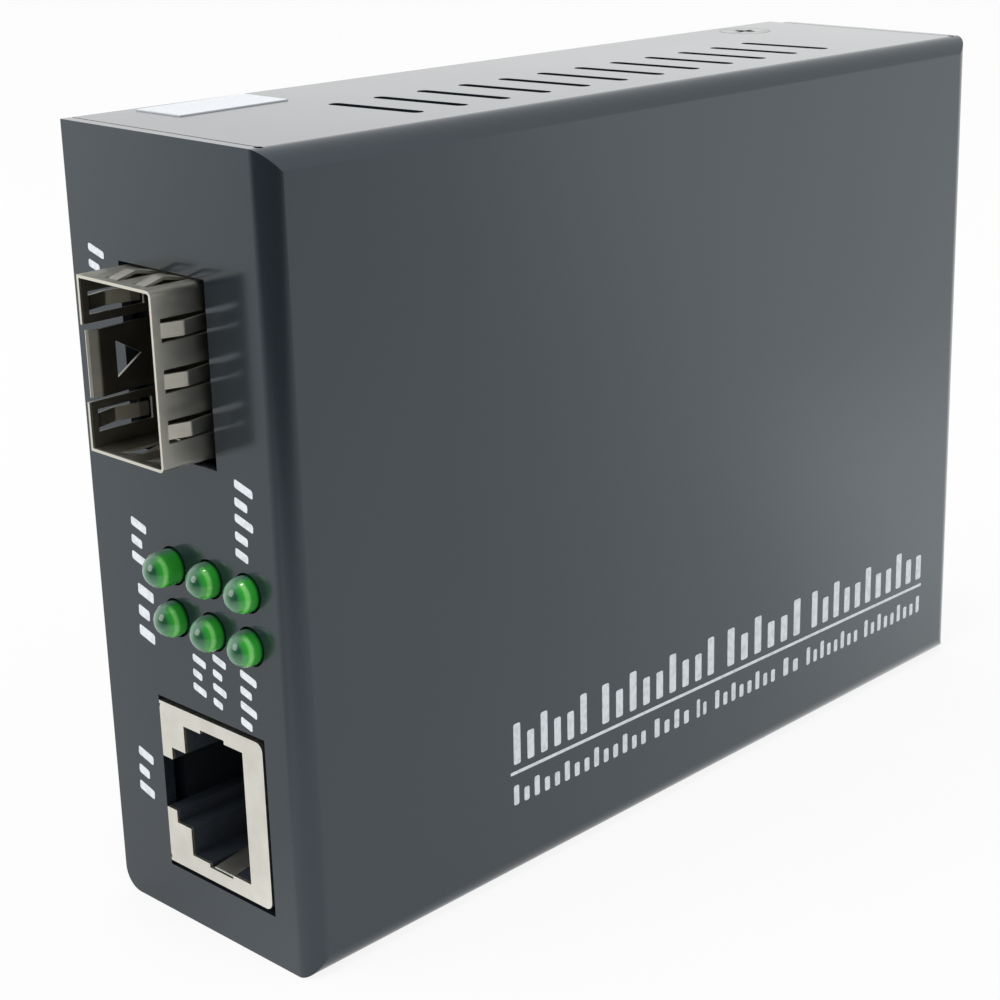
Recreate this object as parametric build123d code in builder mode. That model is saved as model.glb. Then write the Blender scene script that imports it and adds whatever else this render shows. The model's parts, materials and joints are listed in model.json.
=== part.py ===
from build123d import *
from math import hypot, radians, tan
import os

# Fibre media converter: a folded steel case with a pluggable-module cage, six lamps and a copper port.
# Millimetres. The case stands on a narrow side: X is its thickness, Y its length, Z its width.
# The front panel faces -Y, the large printed face is +X, and the origin is the middle of the underside.

# Case
case_thickness = 26.0
case_length = 95.0
case_width = 70.0
sheet = 1.0
bend_radius = 1.8
seam = 0.15
corner_round = 2.0
relief_size = 0.7
tray_flange_height = 8.0
tray_bend_radius = 1.4

# Vent slots on both narrow sides
vent_count = 12
vent_pitch = 5.08
vent_length = 10.0
vent_width = 1.3
vent_slant = 8.0
vent_height = 15.75
vent_shift = 0.7

# Cover screws
screw_height = 3.9
screw_inset = 10.5
screw_size = 3.0
screw_length = 4.0
screw_head_size = 5.4
screw_head_angle = 90.0
thread_clearance = 0.1
collar_wall = 0.6
collar_length = 1.2
recess_width = 0.6
recess_span = 2.6
recess_depth = 0.9

# Circuit board and what carries it
board_rise = 7.25
board_thickness = 1.6
board_front_gap = 1.1
board_rear_gap = 1.3
board_side_gap = 2.8
standoff_flats = 5.0
standoff_shank = 4.2
standoff_fit = 0.05
standoff_bore_depth = 4.8
board_screw_length = 5.5
board_screw_head_size = 5.6
board_screw_head_height = 1.9
board_screw_head_edge = 0.8
board_hole_clearance = 0.2
low_post_setback = 3.5
low_post_gap = 3.85
high_post_setback = 4.4
high_post_gap = 3.9
rear_post_setback = 4.7
rear_post_inset = 3.8

# Module cage
cage_width = 14.7
cage_height = 9.7
cage_length = 48.7
cage_reach = 4.55
cage_sheet = 0.25
cage_bend_radius = 0.5
cage_margin = 11.15
cage_opening_gap = 0.75
cage_opening_high_gap = 0.25
finger_width = 1.2
finger_slot = 0.35
finger_length = 5.3
finger_start = 0.75
finger_crest = 1.9
finger_bow = 0.5
finger_root = 0.3
finger_tip_gap = 0.4
finger_bend = 0.6
roof_finger_pitch = 4.1
roof_finger_count = 3
side_finger_pitch = 3.6
side_finger_shift = 0.7
floor_finger_pitch = 9.8
tongue_width = 5.6
tongue_slot = 0.45
tongue_length = 9.0
tongue_lift = 0.75
tongue_lip = 0.95
tongue_lip_drop = 0.4
tongue_setback = 0.1
catch_base = 3.1
catch_depth = 2.6
catch_setback = 1.6
cage_flange_height = 2.6
cage_flange_start = 8.0
cage_pin_count = 4
cage_pin_pitch = 10.0
cage_pin_width = 0.6
cage_pin_length = 2.4
cage_pin_clearance = 0.1

# Host socket at the back of the cage
socket_width = 12.4
socket_depth = 7.6
socket_height = 5.4
socket_setback = 2.4
socket_clearance = 0.3
card_slot_width = 9.3
card_slot_height = 1.1
card_slot_depth = 5.4
card_slot_rise = 3.2
card_slot_lead_in = 0.3

# Lamps
lamp_size = 3.1
lamp_stand = 0.5
lamp_length = 5.3
lamp_flange_size = 3.8
lamp_flange_thickness = 1.0
lamp_rise = 3.5
lamp_column_pitch = 4.9
lamp_columns = 3
lamp_row_pitch = 4.65
lamp_rows = 2
lamp_drop = 0.975
raised_lamp = 4
raised_lamp_lift = 0.7
lamp_hole_clearance = 0.17
lead_size = 0.5
lead_pitch = 2.54
lead_bend_radius = 0.6
lead_stagger = 1.6
lead_tail = 1.0
lead_hole_clearance = 0.1
holder_depth = 9.0
holder_wall = 0.5
holder_gap = 0.1
holder_bore_clearance = 0.05

# Copper port
jack_width = 15.4
jack_height = 13.95
jack_depth = 21.4
jack_reach = 0.05
jack_margin = 5.1
jack_opening_gap = 0.45
jack_opening_roof_gap = 0.3
jack_opening_floor_gap = 0.1
shield_sheet = 0.3
shield_bend_radius = 0.8
port_width = 12.3
port_height = 8.0
port_rise = 3.25
port_depth = 13.0
latch_width = 7.2
latch_step = 1.9
latch_tip_width = 4.9
housing_fit = 0.05
ground_spring_width = 2.6
ground_spring_rise = 7.2
ground_spring_length = 7.0
ground_spring_lean = 1.2
ground_spring_tip = 1.5
ground_spring_tip_drop = 0.6
ground_spring_bend = 0.5
ground_spring_relief = 0.35
spring_pocket_margin = 0.3
spring_pocket_depth = 0.8
contact_count = 8
contact_pitch = 1.02
contact_size = 0.45
contact_setback = 2.4
contact_bend_radius = 0.5
contact_drop = 3.0
contact_return = 8.0
peg_size = 3.2
peg_spacing = 11.4
peg_setback = 9.0
peg_length = 2.4

# Power inlet
inlet_width = 9.0
inlet_height = 11.0
inlet_depth = 14.2
inlet_middle = 24.0
inlet_axis_rise = 6.5
inlet_bore = 6.3
inlet_bore_depth = 9.5
inlet_gap = 0.3
inlet_hole = 7.8
inlet_collar_length = 1.1
inlet_collar_clearance = 0.15
pin_size = 2.0
pin_setback = 0.8
pin_fit = 0.05
pin_rivet_size = 3.2
pin_rivet_height = 0.5
pin_tail_width = 1.6
tail_length = 1.0
tail_clearance = 0.2
inlet_spring_width = 2.2
inlet_spring_sheet = 0.3
inlet_spring_clearance = 0.1
inlet_spring_touch = 0.25
inlet_spring_seat = 0.6
inlet_spring_start = 3.2
inlet_spring_reach = 8.0
inlet_spring_bend = 0.5

# Board parts: sizes along Y, Z and X, and places as the distance in front of the inlet and the height
magnetics_size = (9.6, 15.2, 5.6)
magnetics_gap = 5.2
magnetics_leads = 12
magnetics_lead_pitch = 1.2
chip_size = (12.0, 12.0, 0.9)
chip_place = (24.0, 36.0)
flash_size = (3.9, 4.9, 1.5)
flash_place = (24.0, 24.5)
flash_leads = 4
flash_lead_pitch = 1.27
gull_lead_width = 0.45
gull_lead_sheet = 0.2
gull_lead_reach = 1.5
gull_lead_height = 0.9
regulator_size = (3.5, 6.5, 1.6)
regulator_place = (10.0, 38.0)
regulator_tab = (1.7, 3.0, 0.3)
regulator_leads = 3
regulator_lead_pitch = 2.3
regulator_lead_width = 0.7
inductor_size = 6.2
inductor_height = 3.2
inductor_round = 1.5
inductor_place = (5.0, 50.0)
crystal_size = (4.6, 11.0, 3.6)
crystal_foot = 0.4
crystal_lip = 0.4
crystal_setback = 36.0
crystal_gap = 6.9
capacitor_size = 6.3
capacitor_height = 9.0
capacitor_edge = 0.5
capacitor_groove = 0.35
capacitor_groove_rise = 1.5
capacitor_count = 2
capacitor_spacing = 8.5
capacitor_place = (7.0, 15.25)
small_part_size = (0.8, 1.6, 0.8)
small_part_count = 8
small_part_pitch = 2.4
small_part_place = (14.0, 25.0)
body_edge = 0.3

# Blank label over the front screw
label_thickness = 0.1
label_length = 11.7
label_width = 5.8
label_turn = 2.0
label_height = 3.7
label_setback = 12.65

# Levels that everything else is set from
base_x = -case_thickness / 2
face_x = case_thickness / 2
front_y = -case_length / 2
rear_y = case_length / 2
inner_front_y = front_y + sheet
inner_rear_y = rear_y - sheet
tray_x = base_x + sheet
tray_low_z = sheet + seam
tray_high_z = case_width - sheet - seam
board_x = base_x + board_rise
board_under_x = board_x - board_thickness
screw_x = base_x + screw_height
board_front_y = inner_front_y + board_front_gap
board_back_y = inner_rear_y - board_rear_gap
board_edge_z = sheet + board_side_gap
cage_middle = case_width - cage_margin - cage_width / 2
cage_low_z = cage_middle - cage_width / 2
cage_high_z = cage_middle + cage_width / 2
mouth_y = front_y - cage_reach
cage_rear_y = mouth_y + cage_length
cage_roof_x = board_x + cage_height
cage_middle_x = board_x + cage_height / 2
finger_y = mouth_y + finger_start
jack_middle = jack_margin + jack_width / 2
jack_high_z = jack_middle + jack_width / 2
jack_front_y = front_y - jack_reach
jack_back_y = jack_front_y + jack_depth
port_x = board_x + port_rise + port_height / 2
port_roof_x = board_x + port_rise + port_height
lamp_middle = (jack_high_z + cage_low_z) / 2 - lamp_drop
lamp_back_y = front_y - lamp_stand - lamp_size / 2 + lamp_length
holder_front_y = inner_front_y + holder_gap
holder_rear_y = holder_front_y + holder_depth
last_lead_y = holder_rear_y + lead_stagger * lamp_columns
screw_spacing = case_length - 2 * screw_inset
inlet_x = board_x + inlet_axis_rise
inlet_rear_y = inner_rear_y - inlet_gap
inlet_back_y = inlet_rear_y - inlet_depth
inlet_mouth_y = inlet_rear_y + inlet_collar_length

# Planes: the front panel's outer face, the board's upper face and the cover's upper narrow side
front_plane = Plane.XZ.offset(-front_y)
rear_plane = Plane.XZ.offset(-rear_y)
board_plane = Plane.YZ.offset(board_x)
top_plane = Plane.XY.offset(case_width)
bottom_plane = Plane.XY.rotated((180, 0, 0))

posts = [
    (last_lead_y + low_post_setback, jack_high_z + low_post_gap),
    (board_front_y + high_post_setback, cage_high_z + high_post_gap),
    (board_back_y - rear_post_setback, board_edge_z + rear_post_inset),
    (board_back_y - rear_post_setback, case_width - board_edge_z - rear_post_inset),
]
cage_pins = [
    (mouth_y + cage_length / 2 + (index - (cage_pin_count - 1) / 2) * cage_pin_pitch, cage_middle + side)
    for index in range(cage_pin_count)
    for side in (-(cage_width - cage_sheet) / 2, (cage_width - cage_sheet) / 2)
]
jack_pegs = [
    (jack_front_y + peg_setback, jack_middle + side)
    for side in (-peg_spacing / 2, peg_spacing / 2)
]
lamps = [
    (column, lamp_middle + (row - (lamp_rows - 1) / 2) * lamp_row_pitch)
    for row in range(lamp_rows)
    for column in range(lamp_columns)
]
lead_sides = (-lead_pitch / 2, lead_pitch / 2)


def lamp_x(column):
    """Height of a lamp column: the columns stand one above the other over the board."""
    return board_x + lamp_rise + column * lamp_column_pitch


def lead_y(column):
    """Where the leads of a lamp column turn down to the board: higher lamps further back."""
    return holder_rear_y + lead_stagger * (column + 1)


def lamp_lift(number):
    """How much further forward than the others a lamp sits."""
    return raised_lamp_lift if number == raised_lamp else 0


def on_board(place):
    """Y and Z of a board part, from its distance in front of the inlet and its height."""
    return (inlet_back_y - place[0], place[1])


def folded_section(width, length, bend, thickness):
    """A sheet folded to a channel that is open towards its low x side, centred on the origin."""
    with BuildSketch(mode=Mode.PRIVATE) as section:
        Rectangle(width, length)
        fillet(section.vertices().group_by(Axis.X)[-1], radius=bend)
        offset(amount=-thickness, mode=Mode.SUBTRACT)
        with Locations(((thickness - width) / 2, 0)):
            Rectangle(thickness, length - 2 * thickness, mode=Mode.SUBTRACT)
    return section.sketch


def strip_section(points, bend, thickness, side):
    """Side view of a bent strip: a line through the points with rounded bends, thickened to one side."""
    with BuildSketch(mode=Mode.PRIVATE) as section:
        with BuildLine():
            FilletPolyline(*points, radius=bend)
            offset(amount=thickness, side=side)
        make_face()
    return section.sketch


def side_view(origin, outward):
    """A plane whose x runs along +Y and whose y runs along the outward direction."""
    return Plane(origin=origin, x_dir=(0, 1, 0), z_dir=Vector(0, 1, 0).cross(Vector(*outward)))


def spring_finger():
    """Side view of a cage finger: rooted at its front, bowed outward, with its tip just inside the wall."""
    points = (
        (-finger_root, 0),
        (0, 0),
        (finger_crest, finger_bow),
        (finger_length - finger_tip_gap, -cage_sheet / 2),
    )
    return strip_section(points, finger_bend, cage_sheet, Side.RIGHT)


def port_outline():
    """Opening of the copper port with its two latch steps, drawn on the front plane's axes."""
    with BuildSketch(mode=Mode.PRIVATE) as outline:
        with Locations((port_x, jack_middle)):
            Rectangle(port_height, port_width)
        with Locations((board_x + port_rise, jack_middle)):
            Rectangle(2 * latch_step, latch_width)
        with Locations((board_x, jack_middle)):
            Rectangle(2 * port_rise, latch_tip_width)
    return outline.sketch


def gull_lead(body_width):
    """Side view of one lead that leaves a chip's flank, steps down and lies flat on the board."""
    points = (
        (body_width / 2 - gull_lead_sheet, gull_lead_height),
        (body_width / 2 + gull_lead_reach / 2, gull_lead_height),
        (body_width / 2 + gull_lead_reach / 2, gull_lead_sheet),
        (body_width / 2 + gull_lead_reach, gull_lead_sheet),
    )
    with BuildSketch(mode=Mode.PRIVATE) as section:
        with BuildLine():
            Polyline(*points)
            offset(amount=gull_lead_sheet, side=Side.RIGHT)
        make_face()
    return section.sketch


def leaded_chip(size, place, leads, spacing):
    """A chip body with a row of bent leads along both flanks."""
    rows = [place[1] + (index - (leads - 1) / 2) * spacing for index in range(leads)]
    with BuildPart() as chip:
        with BuildSketch(board_plane.offset(gull_lead_sheet)):
            with Locations(place):
                Rectangle(size[0], size[1])
        extrude(amount=size[2] - gull_lead_sheet)
        chamfer(chip.faces().sort_by(Axis.X)[-1].edges(), length=body_edge)
        with BuildSketch(*[side_view((board_x, place[0], z), (1, 0, 0)) for z in rows]):
            add(gull_lead(size[0]))
        extrude(amount=gull_lead_width / 2, both=True)
        with BuildSketch(*[side_view((board_x, place[0], z), (1, 0, 0)) for z in rows]):
            mirror(gull_lead(size[0]), about=Plane.YZ)
        extrude(amount=gull_lead_width / 2, both=True)
    return chip.part


os.makedirs("parts", exist_ok=True)

# Cover: one sheet wrapped round the front, the large face and the rear, with the narrow sides folded inside
cage_opening_size = cage_width + cage_opening_gap + cage_opening_high_gap
cage_opening_middle = cage_middle - (cage_opening_gap - cage_opening_high_gap) / 2
jack_opening_size = jack_height + jack_opening_roof_gap + jack_opening_floor_gap
jack_opening_x = board_x - jack_opening_floor_gap + jack_opening_size / 2
with BuildPart() as cover_shell:
    with BuildSketch(Plane.XY):
        add(folded_section(case_thickness, case_length, bend_radius, sheet))
    extrude(amount=case_width)
    with BuildSketch(Plane.YZ.offset(face_x)):
        for z in (bend_radius / 2, case_width - bend_radius / 2):
            with Locations((0, z)):
                Rectangle(case_length - 2 * bend_radius, bend_radius)
    extrude(amount=-bend_radius, mode=Mode.SUBTRACT)
    with BuildSketch(Plane.XZ):
        with Locations((0, case_width / 2)):
            add(folded_section(case_thickness, case_width, bend_radius, sheet))
    extrude(amount=case_length / 2 - sheet - seam, both=True)
    with BuildSketch(Plane.XY):
        Rectangle(case_thickness, case_length)
        fillet(vertices().group_by(Axis.X)[-1], radius=bend_radius)
    extrude(amount=case_width, mode=Mode.INTERSECT)
    with BuildSketch(Plane.XZ):
        with Locations((0, case_width / 2)):
            Rectangle(case_thickness, case_width)
        fillet(vertices().group_by(Axis.X)[-1], radius=bend_radius)
    extrude(amount=case_length / 2, both=True, mode=Mode.INTERSECT)
    with BuildSketch(top_plane, Plane.XY.offset(bend_radius)):
        for y in (inner_front_y, inner_rear_y):
            with Locations((face_x - bend_radius, y)):
                Circle(relief_size / 2)
    extrude(amount=-bend_radius, mode=Mode.SUBTRACT)
    with BuildSketch(top_plane):
        with Locations((base_x + vent_height, vent_shift)):
            with GridLocations(1, vent_pitch, 1, vent_count):
                SlotOverall(vent_length, vent_width, rotation=vent_slant)
    extrude(amount=-case_width, mode=Mode.SUBTRACT)
    with Locations(top_plane, bottom_plane):
        with Locations((screw_x, 0)):
            with GridLocations(1, screw_spacing, 1, 2):
                CounterSinkHole(
                    screw_size / 2 + thread_clearance,
                    screw_head_size / 2 + thread_clearance,
                    2 * sheet,
                    screw_head_angle,
                )
    with BuildSketch(front_plane):
        with Locations((cage_middle_x, cage_opening_middle)):
            Rectangle(cage_height + 2 * cage_opening_gap, cage_opening_size)
        with Locations((jack_opening_x, jack_middle)):
            Rectangle(jack_opening_size, jack_width + 2 * jack_opening_gap)
        with Locations([(lamp_x(column), z) for column, z in lamps]):
            Circle(lamp_size / 2 + lamp_hole_clearance)
    extrude(amount=-2 * sheet, mode=Mode.SUBTRACT)
    with BuildSketch(rear_plane):
        with Locations((inlet_x, inlet_middle)):
            Circle(inlet_hole / 2)
    extrude(amount=2 * sheet, mode=Mode.SUBTRACT)
    low_corners = cover_shell.edges().filter_by(Axis.Y).group_by(Axis.X)[0].group_by(Axis.Z)[0]
    fillet(low_corners.filter_by(lambda edge: edge.length < 2 * sheet), radius=corner_round)
    high_edges = cover_shell.edges().filter_by(Axis.Y).group_by(Axis.X)[0].group_by(Axis.Z)[-1]
    high_corners = high_edges.filter_by(lambda edge: edge.length < 2 * sheet)
    fillet(high_corners.sort_by(Axis.Y)[-1], radius=corner_round)
cover_shell.part.label = "cover_shell"
export_step(cover_shell.part, "parts/cover_shell.step")

# Base tray: closes the open side, and its two flanges inside the cover take the cover screws
with BuildPart() as base_tray:
    with BuildSketch(Plane.XZ):
        with Locations((base_x + (sheet + tray_flange_height) / 2, case_width / 2)):
            add(
                folded_section(
                    sheet + tray_flange_height, tray_high_z - tray_low_z, tray_bend_radius, sheet
                ),
                rotation=180,
            )
    extrude(amount=case_length / 2 - sheet - seam, both=True)
    with BuildSketch(Plane.XY.offset(tray_low_z), Plane.XY.offset(tray_high_z).rotated((180, 0, 0))):
        with Locations((screw_x, 0)):
            with GridLocations(1, screw_spacing, 1, 2):
                Circle(screw_size / 2 + thread_clearance + collar_wall)
    extrude(amount=sheet + collar_length)
    with BuildSketch(top_plane):
        with Locations((screw_x, 0)):
            with GridLocations(1, screw_spacing, 1, 2):
                Circle(screw_size / 2 + thread_clearance)
    extrude(amount=-case_width, mode=Mode.SUBTRACT)
    with BuildSketch(Plane.YZ.offset(base_x)):
        with Locations(*posts):
            Circle(standoff_shank / 2 + standoff_fit)
    extrude(amount=sheet, mode=Mode.SUBTRACT)
base_tray.part.label = "base_tray"
export_step(base_tray.part, "parts/base_tray.step")

# Cover screws: flush countersunk heads with a cross recess
head_depth = (screw_head_size - screw_size) / 2 / tan(radians(screw_head_angle / 2))
with BuildPart() as cover_screws:
    with Locations(top_plane, bottom_plane):
        with Locations((screw_x, 0)):
            with GridLocations(1, screw_spacing, 1, 2):
                Cylinder(screw_size / 2, screw_length, align=(Align.CENTER, Align.CENTER, Align.MAX))
                Cone(
                    screw_size / 2,
                    screw_head_size / 2,
                    head_depth,
                    align=(Align.CENTER, Align.CENTER, Align.MAX),
                )
                for turn in (0, 90):
                    Box(
                        recess_span,
                        recess_width,
                        recess_depth,
                        rotation=(0, 0, turn),
                        align=(Align.CENTER, Align.CENTER, Align.MAX),
                        mode=Mode.SUBTRACT,
                    )
cover_screws.part.label = "cover_screws"
export_step(cover_screws.part, "parts/cover_screws.step")

# Standoffs: hexagonal pillars pressed into the tray, with a blind threaded bore
with BuildPart() as standoffs:
    with BuildSketch(Plane.YZ.offset(tray_x)):
        with Locations(*posts):
            RegularPolygon(standoff_flats / 2, 6, major_radius=False)
    extrude(amount=board_under_x - tray_x)
    with BuildSketch(Plane.YZ.offset(base_x)):
        with Locations(*posts):
            Circle(standoff_shank / 2)
    extrude(amount=sheet)
    with BuildSketch(Plane.YZ.offset(board_under_x)):
        with Locations(*posts):
            Circle(screw_size / 2 + thread_clearance)
    extrude(amount=-standoff_bore_depth, mode=Mode.SUBTRACT)
standoffs.part.label = "standoffs"
export_step(standoffs.part, "parts/standoffs.step")

# Board screws: pan heads on the board, shanks down into the standoffs
with BuildPart() as board_screws:
    with BuildSketch(board_plane):
        with Locations(*posts):
            Circle(board_screw_head_size / 2)
    extrude(amount=board_screw_head_height)
    chamfer(board_screws.edges().group_by(Axis.X)[-1], length=board_screw_head_edge)
    with BuildSketch(board_plane):
        with Locations(*posts):
            Circle(screw_size / 2)
    extrude(amount=-board_screw_length)
    with BuildSketch(board_plane.offset(board_screw_head_height)):
        with Locations(*posts):
            Rectangle(recess_span, recess_width)
            Rectangle(recess_width, recess_span)
    extrude(amount=-recess_depth, mode=Mode.SUBTRACT)
board_screws.part.label = "board_screws"
export_step(board_screws.part, "parts/board_screws.step")

# Circuit board, with a hole for everything that goes through it
with BuildPart() as circuit_board:
    with BuildSketch(board_plane):
        with Locations(((board_front_y + board_back_y) / 2, case_width / 2)):
            Rectangle(board_back_y - board_front_y, case_width - 2 * board_edge_z)
        with Locations(*posts):
            Circle(screw_size / 2 + board_hole_clearance, mode=Mode.SUBTRACT)
        with Locations(*cage_pins):
            Circle(hypot(cage_pin_width, cage_sheet) / 2 + lead_hole_clearance, mode=Mode.SUBTRACT)
        with Locations(*jack_pegs):
            Circle(peg_size / 2 + lead_hole_clearance, mode=Mode.SUBTRACT)
        with Locations([(lead_y(column), z + side) for column, z in lamps for side in lead_sides]):
            Circle(hypot(lead_size, lead_size) / 2 + lead_hole_clearance, mode=Mode.SUBTRACT)
        with Locations((inlet_back_y - pin_rivet_height / 2, inlet_middle)):
            Rectangle(
                pin_rivet_height + tail_clearance, pin_tail_width + tail_clearance, mode=Mode.SUBTRACT
            )
        with Locations((inlet_back_y + inlet_spring_start + inlet_spring_sheet / 2, inlet_middle)):
            Rectangle(
                inlet_spring_sheet + tail_clearance, inlet_spring_width + tail_clearance, mode=Mode.SUBTRACT
            )
    extrude(amount=-board_thickness)
circuit_board.part.label = "circuit_board"
export_step(circuit_board.part, "parts/circuit_board.step")

# Upper half of the module cage: roof, side walls and back folded from one thin sheet, with spring fingers
roof_fingers = [
    cage_middle + (index - (roof_finger_count - 1) / 2) * roof_finger_pitch
    for index in range(roof_finger_count)
]
side_middle_x = cage_middle_x + side_finger_shift
side_fingers = (side_middle_x - side_finger_pitch / 2, side_middle_x + side_finger_pitch / 2)
window_y = finger_y + finger_length / 2
window_width = finger_width + 2 * finger_slot
with BuildPart() as cage_shell:
    with BuildSketch(Plane.XZ.offset(-mouth_y)):
        with Locations((cage_middle_x + cage_sheet / 2, cage_middle)):
            add(folded_section(cage_height - cage_sheet, cage_width, cage_bend_radius, cage_sheet))
    extrude(amount=-cage_length)
    with BuildSketch(Plane.XZ.offset(-cage_rear_y)):
        with Locations((cage_middle_x, cage_middle)):
            Rectangle(cage_height - 2 * cage_sheet, cage_width - 2 * cage_sheet)
    extrude(amount=cage_sheet)
    with BuildSketch(Plane.YZ.offset(cage_roof_x)):
        with Locations([(window_y, z) for z in roof_fingers]):
            Rectangle(finger_length, window_width)
    extrude(amount=-2 * cage_sheet, mode=Mode.SUBTRACT)
    with BuildSketch(Plane.XY.offset(cage_middle + cage_width / 2)):
        with Locations([(x, window_y) for x in side_fingers]):
            Rectangle(window_width, finger_length)
    extrude(amount=-cage_width, mode=Mode.SUBTRACT)
    with BuildSketch(*[side_view((cage_roof_x, finger_y, z), (1, 0, 0)) for z in roof_fingers]):
        add(spring_finger())
    extrude(amount=finger_width / 2, both=True)
    for outward in (-1, 1):
        wall_z = cage_middle + outward * cage_width / 2
        with BuildSketch(*[side_view((x, finger_y, wall_z), (0, 0, outward)) for x in side_fingers]):
            add(spring_finger())
        extrude(amount=finger_width / 2, both=True)
    with BuildSketch(Plane.YZ.offset(board_x + cage_sheet)):
        with Locations(*cage_pins):
            Rectangle(cage_pin_width, cage_sheet)
    extrude(amount=-cage_pin_length - cage_sheet)
cage_shell.part.label = "sfp_cage_shell"
export_step(cage_shell.part, "parts/sfp_cage_shell.step")

# Lower half of the cage: floor with outer flanges, two spring fingers and the latch tongue
tongue_fold_y = mouth_y + tongue_lip
tongue_root_y = mouth_y + tongue_length
socket_back_y = cage_rear_y - socket_setback
socket_front_y = socket_back_y - socket_depth
floor_fingers = (cage_middle - floor_finger_pitch / 2, cage_middle + floor_finger_pitch / 2)
with BuildPart() as cage_floor:
    with BuildSketch(board_plane):
        with Locations((mouth_y + cage_length / 2, cage_middle)):
            Rectangle(cage_length, cage_width)
        with Locations((mouth_y + tongue_length / 2, cage_middle)):
            Rectangle(tongue_length, tongue_width + 2 * tongue_slot, mode=Mode.SUBTRACT)
        with Locations([(window_y, z) for z in floor_fingers]):
            Rectangle(finger_length, window_width, mode=Mode.SUBTRACT)
        with Locations(((socket_front_y + socket_back_y) / 2, cage_middle)):
            Rectangle(
                socket_depth + 2 * socket_clearance, socket_width + 2 * socket_clearance, mode=Mode.SUBTRACT
            )
        with Locations(*cage_pins):
            Rectangle(
                cage_pin_width + 2 * cage_pin_clearance,
                cage_sheet + 2 * cage_pin_clearance,
                mode=Mode.SUBTRACT,
            )
    extrude(amount=cage_sheet)
    with BuildSketch(board_plane):
        with Locations(((mouth_y + cage_flange_start + cage_rear_y) / 2, cage_middle)):
            Rectangle(cage_length - cage_flange_start, cage_width + 2 * cage_sheet)
            Rectangle(cage_length - cage_flange_start, cage_width, mode=Mode.SUBTRACT)
    extrude(amount=cage_flange_height)
    with BuildSketch(side_view((board_x, 0, cage_middle), (1, 0, 0))):
        add(
            strip_section(
                (
                    (mouth_y + tongue_setback, tongue_lift - tongue_lip_drop),
                    (tongue_fold_y, tongue_lift),
                    (tongue_root_y, 0),
                    (tongue_root_y + finger_root, 0),
                ),
                finger_root,
                cage_sheet,
                Side.LEFT,
            )
        )
    extrude(amount=tongue_width / 2, both=True)
    with BuildSketch(*[side_view((board_x, finger_y, z), (-1, 0, 0)) for z in floor_fingers]):
        add(spring_finger())
    extrude(amount=finger_width / 2, both=True)
    with BuildSketch(board_plane):
        with BuildLine():
            catch_y = tongue_fold_y + catch_setback
            Polyline(
                (catch_y, cage_middle - catch_base / 2),
                (catch_y, cage_middle + catch_base / 2),
                (catch_y + catch_depth, cage_middle),
                close=True,
            )
        make_face()
    extrude(amount=tongue_lift + 2 * cage_sheet, mode=Mode.SUBTRACT)
cage_floor.part.label = "sfp_cage_floor"
export_step(cage_floor.part, "parts/sfp_cage_floor.step")

# Host socket: a moulded block whose slot takes the module's card edge
with BuildPart() as socket:
    with BuildSketch(board_plane):
        with Locations(((socket_front_y + socket_back_y) / 2, cage_middle)):
            Rectangle(socket_depth, socket_width)
    extrude(amount=socket_height)
    chamfer(socket.faces().sort_by(Axis.X)[-1].edges(), length=body_edge)
    with BuildSketch(Plane.XZ.offset(-socket_front_y)):
        with Locations((board_x + card_slot_rise, cage_middle)):
            Rectangle(card_slot_height, card_slot_width)
    extrude(amount=-card_slot_depth, mode=Mode.SUBTRACT)
    slot_rim = socket.faces().sort_by(Axis.Y)[0].inner_wires()[0]
    chamfer(slot_rim.edges(), length=card_slot_lead_in)
socket.part.label = "sfp_connector"
export_step(socket.part, "parts/sfp_connector.step")

# Lamp holder: a moulded block with a stepped bore for each lamp
holder_half = lamp_flange_size / 2 + holder_bore_clearance + holder_wall
with BuildPart() as led_holder:
    with BuildSketch(board_plane):
        with Locations(((holder_front_y + holder_rear_y) / 2, lamp_middle)):
            Rectangle(holder_depth, (lamp_rows - 1) * lamp_row_pitch + 2 * holder_half)
    extrude(amount=lamp_rise + (lamp_columns - 1) * lamp_column_pitch + holder_half)
    with BuildSketch(Plane.XZ.offset(-holder_front_y)):
        with Locations([(lamp_x(column), z) for column, z in lamps]):
            Circle(lamp_size / 2 + holder_bore_clearance)
    extrude(amount=-holder_depth, mode=Mode.SUBTRACT)
    for number, (column, z) in enumerate(lamps, start=1):
        with BuildSketch(Plane.XZ.offset(-lamp_back_y + lamp_flange_thickness + lamp_lift(number))):
            with Locations((lamp_x(column), z)):
                Circle(lamp_flange_size / 2 + holder_bore_clearance)
        extrude(amount=-holder_depth, mode=Mode.SUBTRACT)
led_holder.part.label = "led_holder"
export_step(led_holder.part, "parts/led_holder.step")

# Lamps: each a domed lens cast in one piece with its two leads
for number, (column, z) in enumerate(lamps, start=1):
    x = lamp_x(column)
    back_y = lamp_back_y - lamp_lift(number)
    tip_y = back_y - lamp_length
    with BuildPart() as lamp:
        with BuildSketch(Plane.XY.offset(z)):
            with BuildLine():
                dome = CenterArc((x, tip_y + lamp_size / 2), lamp_size / 2, -90, 90)
                Polyline(
                    dome @ 1,
                    (x + lamp_size / 2, back_y - lamp_flange_thickness),
                    (x + lamp_flange_size / 2, back_y - lamp_flange_thickness),
                    (x + lamp_flange_size / 2, back_y),
                    (x, back_y),
                    dome @ 0,
                )
            make_face()
        revolve(axis=Axis((x, 0, z), (0, 1, 0)))
        for side in lead_sides:
            with BuildLine(Plane.XY.offset(z + side)) as wire:
                FilletPolyline(
                    (x, back_y),
                    (x, lead_y(column)),
                    (board_under_x - lead_tail, lead_y(column)),
                    radius=lead_bend_radius,
                )
            with BuildSketch(Plane.XZ.offset(-back_y)):
                with Locations((x, z + side)):
                    Rectangle(lead_size, lead_size)
            sweep(path=wire.wires()[0])
    lamp.part.label = f"led_lamp_{number}"
    export_step(lamp.part, f"parts/led_lamp_{number}.step")

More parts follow.
